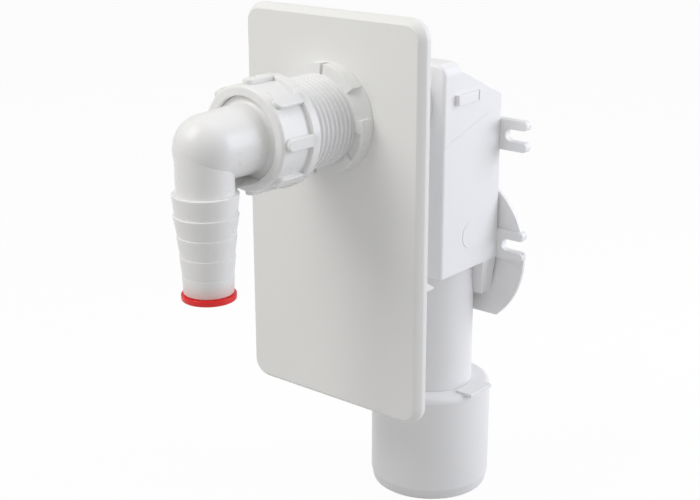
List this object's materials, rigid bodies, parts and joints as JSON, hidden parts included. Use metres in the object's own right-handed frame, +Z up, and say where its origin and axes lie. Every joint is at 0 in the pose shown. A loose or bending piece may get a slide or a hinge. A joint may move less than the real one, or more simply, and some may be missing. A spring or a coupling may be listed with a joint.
{
  "type": "washing machine standpipe trap",
  "caption": "White plastic concealed washing machine trap: cover plate, barbed hose elbow on a union nut, water-seal box with wall lugs and a DN50 spigot.",
  "frame": {"origin": "on the waste spigot's axis, at the foot of its straight wall, just above the chamfered end", "axes": "+Z up along the spigot, +Y into the wall, +X to the right as seen from the cover plate's front"},
  "size_m": [0.083, 0.1648, 0.2074],
  "materials": {
    "white_plate": "moulded white polypropylene, fine satin",
    "white_body": "moulded white polypropylene, satin",
    "white_fitting": "moulded white polypropylene, semi-gloss",
    "red_plug": "moulded red polyethylene, semi-gloss",
    "black_rubber": "moulded rubber, matt"
  },
  "bodies": {
    "trap": {"cover_plate": "white_plate", "trap_body": "white_body", "back_cover": "white_body", "dip_baffle": "white_body", "ring_nut": "white_fitting", "outlet_sleeve": "white_body", "sleeve_seal": "black_rubber"},
    "union": {"elbow_gasket": "black_rubber"},
    "union_nut": {"union_nut": "white_fitting"},
    "elbow": {"hose_elbow": "white_fitting"},
    "plug": {"blanking_plug": "red_plug"}
  },
  "joints": [
    {"name": "union_withdraw", "type": "slide", "parent": "trap", "child": "union", "axis": [0, -1, 0], "range_m": [0, 0.0095]},
    {"name": "union_unscrew", "type": "hinge", "parent": "union", "child": "union_nut", "pos_m": [0, -0.1022, 0.1648], "axis": [0, -1, 0], "range_deg": [0, 1440]},
    {"name": "elbow_swivel", "type": "hinge", "parent": "union", "child": "elbow", "pos_m": [0, -0.1022, 0.1648], "axis": [0, -1, 0], "continuous": true},
    {"name": "plug_pull", "type": "slide", "parent": "elbow", "child": "plug", "axis": [0, 0, -1], "range_m": [0, 0.02]}
  ],
  "couplings": [
    {"joint": "union_withdraw", "follows": "union_unscrew", "m_per_rad": 0.00036749}
  ]
}
